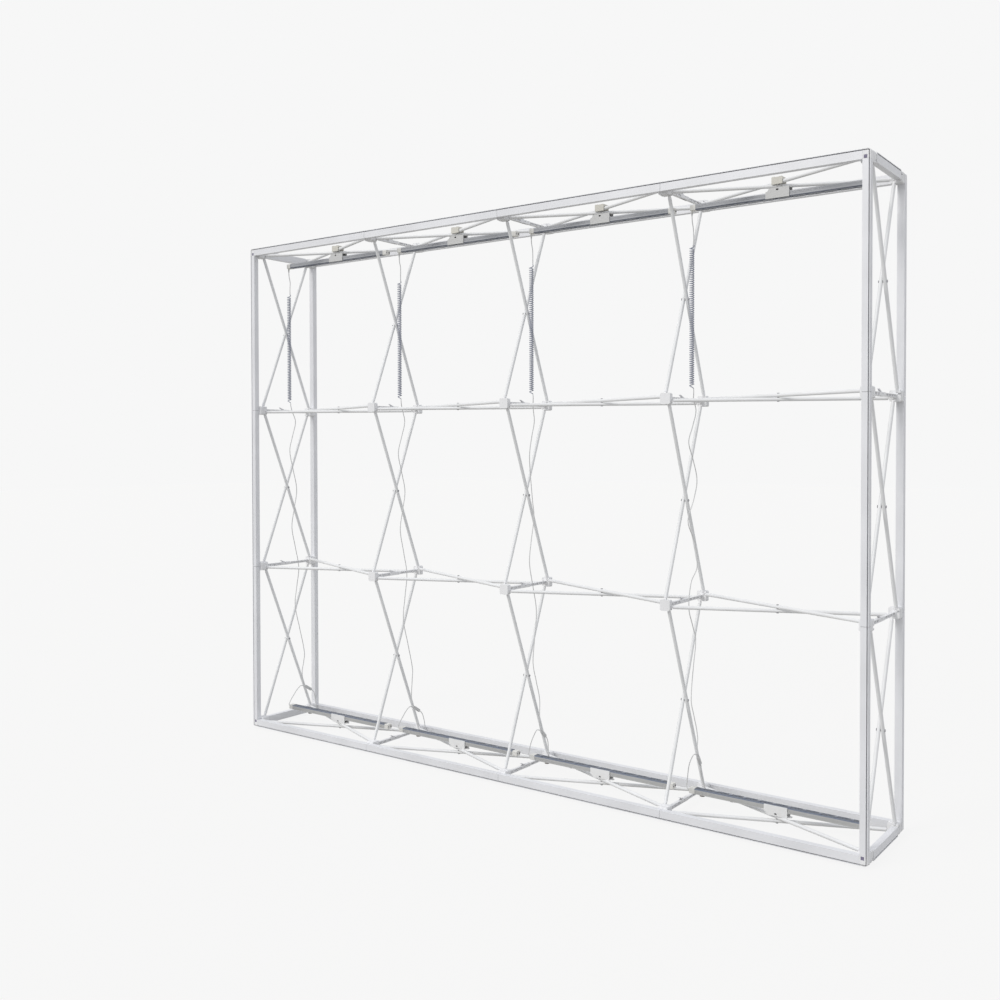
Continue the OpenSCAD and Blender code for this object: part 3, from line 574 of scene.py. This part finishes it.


# %% [markdown]
# ## Aluminium
#
# The rails and light bars are extrusions, and the die leaves fine lines along them.
# Anisotropic gloss could show the lines, but it needs a tangent on every solid.
# Grain that is long in one direction gives the same streaks. A rail is the same
# metal whichever way it runs, so there is one finish for each axis. The tubes are
# drawn and anodised evenly. All of it looks almost white under the broad light, so
# it is only a little metallic.
#
# The rims of a light bar are the narrow edges beside its board, and they are darker
# than its sides. The bars of the top row hang in the frame's shade, so a zone paints
# shade on them, and darker still on their rims.

# %% Rails and tubes
LINES = 420  # specks a metre across the extrusion lines
ALONG = 3  # and along them
RAIL = (0.82, 0.825, 0.845)
rail_x, rail_y, rail_z = [
    finish(f"rail_along_{axis}", RAIL, 0.45, metallic=0.12, grain=lines, bump=0.12)
    for axis, lines in (("x", (ALONG, LINES, LINES)), ("y", (LINES, ALONG, LINES)),
                        ("z", (LINES, LINES, ALONG)))]
tube_satin = finish("tube_satin", (0.87, 0.875, 0.875), 0.5, metallic=0.04,
                    grain=(1500,) * 3, bump=0.08)
print("rails and tubes", rail_x.name, rail_y.name, rail_z.name, tube_satin.name)

# %% Light bars
RIM_ZONE = 0.004  # how far up and down from a rim its zone reaches
# The zone of the top row is painted shade, for the shade that the bars and saddles hang in.
TOP_SHADE_ZONE = 0.1  # and the zone of the bars and saddles of the top row
bottom_rim = BOTTOM_ROW_Z + LIGHT_DROP + LIGHT_H
top_rim = row_z(ROWS - 1) - LIGHT_DROP - LIGHT_H
# The first zone paints shade on the bars of the top row, and the last paints it darker still
# on their rims.
light_metal = finish("light_metal", (0.50, 0.50, 0.49), 0.45, metallic=0.1,
                     grain=(ALONG, LINES, LINES), bump=0.15,
                     zones=[("Z", top_rim, TOP_SHADE_ZONE, (0.41, 0.42, 0.44)),
                            ("Z", bottom_rim, RIM_ZONE, (0.20, 0.23, 0.30)),
                            ("Z", top_rim, RIM_ZONE, (0.09, 0.10, 0.13))])
board_mask = finish("board_mask", (0.060, 0.078, 0.115), 0.35, grain=(60, 700, 700),
                    bump=0.3, cloud=40, shift=0.3)
lens_clear = finish("lens_clear", (0.16, 0.18, 0.23), 0.10, grain=(300,) * 3, bump=0.1,
                    cloud=60, shift=0.15, coat=0.6)
print("light bars", light_metal.name, board_mask.name, lens_clear.name)

# %% [markdown]
# ## Mouldings
#
# The hubs, seats, lock arms and tube ends are white plastic with the grain of the
# mould. Each could have its own white, but they come from one batch, so they share
# one finish. The caps of the lights are creamier and the release levers a little
# greyer. The saddles of the top row get painted shade, darker than those of the
# bottom row, because they lie in the shade of the rail and the board above.

# %% White and cream mouldings
MOULD_GRAIN = (1100,) * 3
white_mould = finish("white_mould", (0.89, 0.89, 0.895), 0.5, grain=MOULD_GRAIN, bump=0.2)
# The zone paints the shade that falls on the saddles of the top row.
saddle_mould = finish("saddle_mould", (0.88, 0.88, 0.87), 0.5, grain=MOULD_GRAIN, bump=0.2,
                      zones=[("Z", row_z(ROWS - 1), TOP_SHADE_ZONE, (0.62, 0.62, 0.61))])
cap_mould = finish("cap_mould", (0.80, 0.79, 0.75), 0.5, grain=MOULD_GRAIN, bump=0.2)
lever_mould = finish("lever_mould", (0.78, 0.78, 0.80), 0.5, grain=(1000,) * 3, bump=0.2)
cream_mould = finish("cream_mould", (0.70, 0.68, 0.61), 0.6, grain=(900,) * 3, bump=0.3)
print("white mouldings", white_mould.name, saddle_mould.name, cap_mould.name)

# %% [markdown]
# ## Dark parts, steel and wire
#
# The square plugs of the corner blocks are violet grey, and the round buttons on the
# caps of the lights are nearly black, as the supply plugs are. The seam strips are as
# dark, which paints the shade in the narrow gaps of the rails. Plugs and buttons are
# one node, so a zone round the middle of the wall's depth, where the lights lie, gives
# the buttons their colour. Rivets are bright. The pins are steel made nearly black,
# which paints the shade in the slots of the hubs round them. The wire's sheath is
# pale, and a zone over the height of the curly section paints the shade that the curls
# cast on each other, as a bluer grey. A lead is one piece, so the zone does this with
# no second material.

# %% Dark parts, steel and wire
DARK = (0.060, 0.058, 0.066)
BUTTON_ZONE = 0.05  # how far in depth the zone of the lights' buttons reaches
DARK_GRAIN = (800,) * 3
STEEL_GRAIN = (1500,) * 3
dark_mould = finish("dark_mould", DARK, 0.5, grain=DARK_GRAIN, bump=0.4, cloud=90, shift=0.35)
plug_mould = finish("plug_mould", (0.24, 0.22, 0.32), 0.55, grain=DARK_GRAIN, bump=0.4,
                    cloud=90, shift=0.25, zones=[("Y", 0, BUTTON_ZONE, DARK)])
grey_mould = finish("grey_mould", (0.66, 0.66, 0.65), 0.5, grain=(1000,) * 3, bump=0.3)
foot_rubber = finish("foot_rubber", (0.33, 0.30, 0.28), 0.8, grain=(600,) * 3, bump=0.5)
rivet_steel = finish("rivet_steel", (0.30, 0.30, 0.32), 0.35, metallic=0.8,
                     grain=STEEL_GRAIN, bump=0.2)
# Painted shade: the pins are steel made nearly black for the shade in the hubs' slots.
shaded_pin_steel = finish("shaded_pin_steel", (0.05, 0.05, 0.06), 0.5, metallic=0.3,
                   grain=STEEL_GRAIN, bump=0.2)
# The zone over the curly section is painted shade, from the curls shading each other.
cable_sheath = finish("cable_sheath", (0.73, 0.73, 0.72), 0.45, grain=(900,) * 3, bump=0.1,
                      zones=[("Z", COIL_TOP - COIL_LEN / 2, COIL_LEN / 2, (0.36, 0.38, 0.45))])
print("dark parts and wire", dark_mould.name, plug_mould.name, cable_sheath.name)

# %% [markdown]
# ## Finishes on the solids
#
# Each solid comes with a plain material in its slot. Their shapes are exact already,
# so they aren't remodelled, and only what is in the slots changes. A new material
# could be added per solid, but pieces of one make look alike when they share one.
# Tubes, levers and rails are found by their names, and the rest are listed.

# %% Put the finishes on the solids
FINISH_OF = {
    "front_hubs": white_mould, "rear_hubs": white_mould, "rail_seats": white_mould,
    "corner_blocks": white_mould, "black_plugs": plug_mould, "feet": foot_rubber,
    "tube_ends": white_mould, "pivot_pins": shaded_pin_steel, "crossing_rivets": rivet_steel,
    "hook_arms": white_mould, "catch_arms": white_mould, "end_rails": rail_y,
    "end_rail_plugs": white_mould, "light_housings": light_metal,
    "light_boards": board_mask, "light_lenses": lens_clear, "light_end_caps": cap_mould,
    "light_saddles": saddle_mould, "pivot_blocks": cream_mould,
}

done = 0
for name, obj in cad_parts.items():
    material = FINISH_OF.get(name)
    if name.endswith("_tubes"):
        material = tube_satin
    elif name.startswith("lever_"):
        material = lever_mould
    elif name.endswith(("top_rail", "bottom_rail")):
        material = rail_x
    elif name.endswith(("left_rail", "right_rail")):
        material = rail_z
    if material:
        done += 1
        for slot in obj.material_slots:
            slot.material = material
print("finished solids", done, "of", len(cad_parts))

# %% [markdown]
# ## Splitters
#
# The splitter is a small moulded block with three low bars across its flat faces.
# The lead and the tail of the light share its upper end, and the supply tail leaves
# at the lower end. Each port has a tapered, ribbed sleeve that keeps the wire from
# kinking. Loop cuts and insets could raise the bars, but a rounded cube with three
# smaller ones through it is quicker to make and looks the same.

# %% Splitters
SLEEVE = [(0.0, 0.0), (0.0030, 0.0), (0.0030, 0.0012), (0.0026, 0.0016), (0.0029, 0.0022),
          (0.0024, 0.0027), (0.0027, 0.0033), (0.0022, 0.0038), (0.0024, 0.0044),
          (0.0019, 0.0050), (0.0, 0.0050)]
BLOCK = (SPLITTER_T, SPLITTER_W, SPLITTER_L)
BLOCK_EDGE = 0.0018
GRIP_BAR = (SPLITTER_T + 0.0006, SPLITTER_W * 0.55, 0.0022)
GRIP_BAR_EDGE = 0.0002
GRIP_BARS_AT = (-0.009, 0.0, 0.009)

for i in range(BAYS):
    bm = bmesh.new()
    lean = Matrix.Translation(in_splitter(i, (0, 0, 0))) @ leaning(i)
    moulded(bm, BLOCK, BLOCK_EDGE, lean)
    for step in GRIP_BARS_AT:
        moulded(bm, GRIP_BAR, GRIP_BAR_EDGE, lean @ Matrix.Translation((0, 0, step)), 1)
    for y, up in ((-PORT_STEP, 1), (PORT_STEP, 1), (0, -1)):
        turned(bm, SLEEVE, lean @ facing((0, y, up * SPLITTER_L / 2), (0, 0, up)))
    splitter = finished(f"splitter_{i + 1}", bm, grey_mould)
    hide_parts("lead_splitters")

# %% [markdown]
# ## Supply plugs
#
# A small round plug ends each supply tail on the floor. It has a barrel, a grip with
# three grooves, and a hollow collar. Cylinders could be stacked, but one profile spun
# about the plug's axis makes it all as one shell. The profile turns back inside the
# collar, which leaves it open.

# %% Supply plugs
BARREL = [(0.0, 0.0), (0.0022, 0.0), (0.0030, 0.0020), (0.0030, 0.0070), (0.0043, 0.0085),
          (0.0045, 0.0100), (0.0042, 0.0112), (0.0045, 0.0124), (0.0042, 0.0136),
          (0.0045, 0.0148), (0.0042, 0.0160), (0.0045, 0.0172), (0.0045, 0.0185),
          (0.0036, 0.0190), (0.0036, 0.0300), (0.0016, 0.0300), (0.0016, 0.0240),
          (0.0, 0.0240)]
BARREL_STEPS = 20

for i in range(BAYS):
    bm = bmesh.new()
    turned(bm, BARREL, facing(Vector((column_x(i), 0, 0)) + PLUG_AT, (1, 0, 0)),
           BARREL_STEPS)
    plug = finished(f"supply_plug_{i + 1}", bm, dark_mould)
    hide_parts("supply_plugs")

# %% [markdown]
# ## Gland sleeves
#
# The wire leaves each light through a ribbed sleeve, which spreads its bend over a
# few millimetres. A stack of rings could make it. One profile that steps in
# and out while it tapers gives the ribs and the cone together. All eight sleeves
# are one mesh, because none of them moves.

# %% Gland sleeves
SLEEVE_STEPS = 12
RIB_SHAPE = ((1, 0), (1, 0.55), (0.8, 0.6), (0.8, 0.95))  # width and place in a rib


def ribbed(length, root, end, ribs):
    """The profile of a tapered sleeve with ribs round it."""
    profile = [(0.0, 0.0)]
    for k in range(ribs):
        radius = root + (end - root) * k / ribs
        for wide, far in RIB_SHAPE:
            profile.append((radius * wide, length * (k + far) / ribs))
    return profile + [(end, length), (0.0, length)]


top_sleeve = ribbed(length=0.013, root=0.0036, end=0.0023, ribs=5)
bottom_sleeve = ribbed(length=0.005, root=0.0034, end=0.0024, ribs=2)
bm = bmesh.new()
for i in range(BAYS):
    foot = Vector((column_x(i), 0, 0))
    turned(bm, top_sleeve, facing(foot + Vector((LEAD_X, LEAD_Y, TOP_GLAND_Z)), (0, 0, -1)),
           SLEEVE_STEPS)
    turned(bm, bottom_sleeve,
           facing(foot + Vector((BOTTOM_GLAND_X, 0, BOTTOM_LIGHT_Z)), (-1, 0, 0)),
           SLEEVE_STEPS)
finished("gland_sleeves", bm, grey_mould)
print("gland sleeves", 2 * BAYS)

# %% [markdown]
# ## Screws and parts on the lights
#
# Each cap is held by a socket screw beside its round button, and the board carries
# two small parts between every two lenses. They could be pictures on the surface,
# but a raised head catches the light. Each kind repeats, so it is one mesh with only
# a few faces a copy, and the solids under it stay as they are.

# %% Places on a light bar
def on_bar(i, top, place):
    """A place given from a bar's middle, with +Z into the frame."""
    x, y, z = place
    up = -1 if top else 1
    return Vector((bay_x(i) + LIGHT_SHIFT + x, y, row_z((ROWS - 1) * top) + up * z))


bars = [(i, top) for i in range(BAYS) for top in (0, 1)]
print("light bars", len(bars))

# %% Cap screws
SCREW = [(0.0, -0.0003), (0.0026, -0.0003), (0.0026, 0.0004), (0.0019, 0.0011),
         (0.0010, 0.0011), (0.0010, 0.0003), (0.0, 0.0003)]
SCREW_Y = -0.0072
SCREW_STEPS = 12

bm = bmesh.new()
for i, top in bars:
    for end in (-1, 1):
        head = on_bar(i, top, (end * LIGHT_LEN / 2, SCREW_Y, light_mid))
        turned(bm, SCREW, facing(head, (end, 0, 0)), SCREW_STEPS)
finished("cap_screws", bm, rivet_steel)
print("cap screws", 2 * len(bars))

# %% Parts on the light boards
CAP_LEN = 0.022
LENSES = 11
LENS_MARGIN = 0.028  # from a cap to the middle of the first lens
BOARD_SUNK = 0.0002
board_face = LIGHT_DROP + LIGHT_H - BOARD_SUNK
board_start = CAP_LEN - LIGHT_LEN / 2 + LENS_MARGIN
lens_pitch = -2 * board_start / (LENSES - 1)

# The size of each kind, and where it is from the middle between two lenses
SMALL_PARTS = (((0.0032, 0.0016, 0.0007), 0.004, 0.004),
               ((0.0020, 0.0013, 0.0009), -0.005, -0.003))
SMALL_EDGE = 0.0001

bm = bmesh.new()
for i, top in bars:
    for k in range(LENSES - 1):
        middle = board_start + (k + 0.5) * lens_pitch
        for size, x, y in SMALL_PARTS:
            place = on_bar(i, top, (middle + x, y, board_face + size[2] / 2))
            moulded(bm, size, SMALL_EDGE, Matrix.Translation(place), 1)
finished("board_parts", bm, dark_mould)
print("board parts", len(SMALL_PARTS) * (LENSES - 1) * len(bars))

# %% [markdown]
# ## Grip ribs on the release levers
#
# A lock opens when its thumb tab is pressed down, so the tab has three cross ribs.
# They ride on their own lever, because each lever turns by itself. An array could
# repeat them, but the tab slopes, so each rib is placed by a share of the way up it.

# %% Grip ribs
TAB_FOOT = Vector((0, -0.014, 0.0074))
TAB_TOP = Vector((0, -0.0405, 0.0176))
RIB = (0.0062, 0.0011, 0.0009)
RIB_EDGE = 0.0003
RIBS_AT = (0.70, 0.80, 0.90)
slope = math.atan2(TAB_TOP.z - TAB_FOOT.z, TAB_FOOT.y - TAB_TOP.y)
locks = [(j, i) for j in range(ROWS) for i in range(COLUMNS)
         if not (i in (0, COLUMNS - 1) and j in (0, ROWS - 1))]

for j, i in locks:
    bm = bmesh.new()
    for part in RIBS_AT:
        place = Vector((column_x(i), 0, row_z(j))) + TAB_FOOT.lerp(TAB_TOP, part)
        moulded(bm, RIB, RIB_EDGE,
                Matrix.Translation(place) @ Matrix.Rotation(-slope, 4, "X"), 2)
    lever = f"lever_row{j + 1}_col{i + 1}"
    finished("grip_" + lever, bm, lever_mould, lever + "_body")
print("levers with grips", len(locks))

# %% [markdown]
# ## Painted shade in the rail seams
#
# The rails come in lengths of one bay, and a thin dark strip in each seam paints the
# shade of the narrow gap. A dark line could be painted on the surface instead, but a
# strip in the gap is seen from every side. It lies just under the surface, across the
# face and the inner side and over the upper back, and leaves the rail's groove and the
# knob behind the seam free.

# %% Places on a rail
RAIL_FACE_Y = 0.1845
RAIL_T = 0.022
RAIL_OUT = 0.020  # from the middle of the outer hubs to the rail's outer edge
RAIL_INNER = {"top": 0.012, "bottom": 0.012, "left": 0.006, "right": 0.006}


def on_rail(side, edge, along, depth, out):
    """A place on a rail: along it, in from its face, and outwards from the hubs."""
    y = side * (RAIL_FACE_Y - depth)
    if edge in ("top", "bottom"):
        up = 1 if edge == "top" else -1
        return Vector((along, y, row_z(ROWS - 1 if up > 0 else 0) + up * out))
    right = 1 if edge == "right" else -1
    return Vector((column_x(COLUMNS - 1 if right > 0 else 0) + right * out, y, along))


def seams_of(edge):
    """Where the lengths of a rail meet, along that rail."""
    if edge in ("top", "bottom"):
        return [column_x(i) for i in range(1, COLUMNS - 1)]
    return [row_z(j) for j in range(1, ROWS - 1)]


print("seams", {edge: len(seams_of(edge)) for edge in RAIL_INNER})

# %% Seam shade strips
SEAM_SHADE_SUNK = 0.0006
SEAM_SHADE_T = 0.0009
SEAM_SHADE_W = 0.0008
SEAM_SHADE_EDGE = 0.0001
GROOVE_EDGE = 0.0136  # where the face strip ends, before the rail's groove
BACK_FROM = 0.0052  # where the back strip starts, beyond the knob


def strips_of(edge):
    """The face, inner and back strip of a seam: two depths, and two reaches out."""
    low = SEAM_SHADE_SUNK - RAIL_INNER[edge]
    deep = RAIL_T - SEAM_SHADE_SUNK
    return [(SEAM_SHADE_SUNK, SEAM_SHADE_SUNK + SEAM_SHADE_T, low, GROOVE_EDGE),
            (SEAM_SHADE_SUNK, deep, low, low + SEAM_SHADE_T),
            (deep - SEAM_SHADE_T, deep, BACK_FROM, RAIL_OUT - SEAM_SHADE_SUNK)]


for side, face in ((-1, "front"), (1, "rear")):
    for edge in RAIL_INNER:
        bm = bmesh.new()
        for seam in seams_of(edge):
            for near, far, inside, outside in strips_of(edge):
                size = (SEAM_SHADE_W, far - near, outside - inside)
                if edge in ("left", "right"):
                    size = size[::-1]
                middle = on_rail(side, edge, seam, (near + far) / 2, (inside + outside) / 2)
                moulded(bm, size, SEAM_SHADE_EDGE, Matrix.Translation(middle), 1)
        rail = f"{face}_{edge}_rail"
        # Each dark strip is painted shade for the narrow gap of a seam.
        finished("seam_shade_" + rail, bm, dark_mould, rail + "_body")
print("rails with seam_shade", 2 * len(RAIL_INNER))

# %% [markdown]
#
# A lead is free wire. Each lead and its tails get the wire's finish and ride on the
# frame, and the lead solids of the imported model are hidden. Its line of points
# gives the length.

for i in range(BAYS):
    for obj, nodes in ((leads[i][0], ("lead_tops", "lead_coils", "lead_drops")),
                       (light_tails[i][0], ("lead_tails",)),
                       (supply_tails[i][0], ("lead_tails",))):
        obj.data.materials.append(cable_sheath)
        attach(obj, "frame")
        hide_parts(*nodes)
print("cords", 3 * BAYS)

# %% [markdown]
# ## The floor, the backdrop and the light
#
# The photograph is a cut-out on pale grey. The floor and the world show that grey
# to the camera and to reflections, and still take a soft shadow. A wide soft sun
# from the upper front left lights the faces and leaves the ends and undersides grey.
# The floor paint is darker than it looks, so that undersides aren't lit from below.

# %% Floor
BACKGROUND = (0.930, 0.930, 0.930)
FLOOR_SIZE = 60

bm = bmesh.new()
bmesh.ops.create_grid(bm, x_segments=1, y_segments=1, size=FLOOR_SIZE / 2)
floor_mesh = bpy.data.meshes.new("floor")
bm.to_mesh(floor_mesh)
bm.free()
floor = bpy.data.objects.new("floor", floor_mesh)
bpy.context.scene.collection.objects.link(floor)
print("floor", FLOOR_SIZE, "wide")


# %% Seen directly or lit
def seen_directly(tree):
    """1 for rays from the camera, a mirror or through glass, and 0 for the rest."""
    path = tree.nodes.new("ShaderNodeLightPath")
    seen = path.outputs["Is Camera Ray"]
    for kind in ("Is Glossy Ray", "Is Transmission Ray"):
        seen = maths(tree, "MAXIMUM", seen, path.outputs[kind])
    return seen


def blended(tree, factor, first, second, end):
    """Mix two shaders and lead the result to the tree's end node."""
    blend = add_node(tree, "ShaderNodeMixShader", {"Fac": factor, 1: first, 2: second})
    feed(tree, tree.nodes[end], {"Surface": blend.outputs["Shader"]})


# %% Floor paint
FLOOR_PAINT = (0.385, 0.376, 0.352)
FLOOR_ROUGHNESS = 0.9
FLOOR_SEEN = 0.85
FLOOR_GLOW = 1.10

paint = bpy.data.materials.new("floor_paint")
paint.use_nodes = True
tree = paint.node_tree
matte = tree.nodes["Principled BSDF"]
feed(tree, matte, {"Base Color": (*FLOOR_PAINT, 1), "Roughness": FLOOR_ROUGHNESS})
glow = add_node(tree, "ShaderNodeEmission",
                {"Color": (*BACKGROUND, 1), "Strength": FLOOR_GLOW})
share = maths(tree, "MULTIPLY", seen_directly(tree), FLOOR_SEEN)
blended(tree, share, matte.outputs["BSDF"], glow.outputs["Emission"], "Material Output")
floor_mesh.materials.append(paint)
print("floor shows its glow for", FLOOR_SEEN, "of what is seen")

# %% Sky
SKY = 0.80
SKY_COLOUR = (0.93, 0.95, 1.0)

world = bpy.data.worlds.new("studio")
world.use_nodes = True
bpy.context.scene.world = world
tree = world.node_tree
soft = tree.nodes["Background"]
feed(tree, soft, {"Color": (*SKY_COLOUR, 1), "Strength": SKY})
plain = add_node(tree, "ShaderNodeBackground", {"Color": (*BACKGROUND, 1), "Strength": 1.0})
blended(tree, seen_directly(tree), soft.outputs["Background"],
        plain.outputs["Background"], "World Output")
print("sky strength", SKY)

# %% Sun
SUN = 1.20
SUN_COLOUR = (1.0, 0.98, 0.95)
SUN_WIDTH = 25
SUN_TRAVEL = (0.32, 0.74, -0.59)

sun = bpy.data.objects.new("sun", bpy.data.lights.new("sun", "SUN"))
bpy.context.scene.collection.objects.link(sun)
sun.data.energy = SUN
sun.data.angle = math.radians(SUN_WIDTH)
sun.data.color = SUN_COLOUR
sun.rotation_euler = Vector(SUN_TRAVEL).to_track_quat("-Z", "Y").to_euler()

bpy.context.scene.view_settings.view_transform = "Standard"
print("sun strength", SUN)
